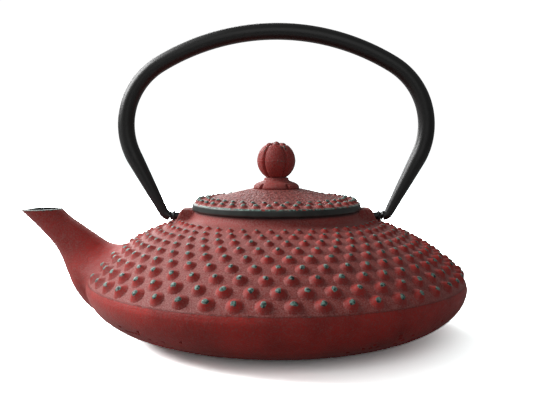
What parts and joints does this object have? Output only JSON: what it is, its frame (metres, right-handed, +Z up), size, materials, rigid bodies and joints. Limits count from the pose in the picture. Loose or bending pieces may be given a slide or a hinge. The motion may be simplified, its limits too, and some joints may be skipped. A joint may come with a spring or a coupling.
{
  "type": "cast iron teapot",
  "caption": "Low round cast teapot with raised dots, short spout, arched bail handle, lifting lid with a melon knob, and a mesh infuser basket.",
  "frame": {"origin": "centre of the flat base, on the surface that the pot stands on", "axes": "+Z up along the axis of the bowl, -X towards the spout, the handle hinges about the X direction"},
  "size_m": [0.2295, 0.195, 0.1592],
  "materials": {
    "red_enamel_iron": "matte dusty red coat with worn teal-grey high spots",
    "black_iron": "satin black coated iron bail",
    "steel_trim": "pressed stainless steel",
    "steel_mesh": "woven stainless wire"
  },
  "bodies": {
    "pot": {"pot_body": "red_enamel_iron"},
    "handle": {"handle": "black_iron"},
    "lid": {"lid": "red_enamel_iron", "knob_seat": "red_enamel_iron", "knob": "red_enamel_iron", "knob_washer": "steel_trim", "knob_screw": "steel_trim"},
    "strainer": {"strainer_rim": "steel_trim", "strainer_wall": "steel_mesh", "strainer_base_ring": "steel_trim", "strainer_base_mesh": "steel_mesh"}
  },
  "joints": [
    {"name": "handle_swing", "type": "hinge", "parent": "pot", "child": "handle", "pos_m": [0, 0, 0.06], "axis": [1, 0, 0], "range_deg": [-95, 95]},
    {"name": "lid_lift", "type": "slide", "parent": "pot", "child": "lid", "axis": [0, 0, 1], "range_m": [0, 0.048]},
    {"name": "strainer_lift", "type": "slide", "parent": "pot", "child": "strainer", "axis": [0, 0, 1], "range_m": [0, 0.0408]}
  ],
  "couplings": [
    {"joint": "strainer_lift", "follows": "lid_lift", "ratio": 0.85}
  ]
}
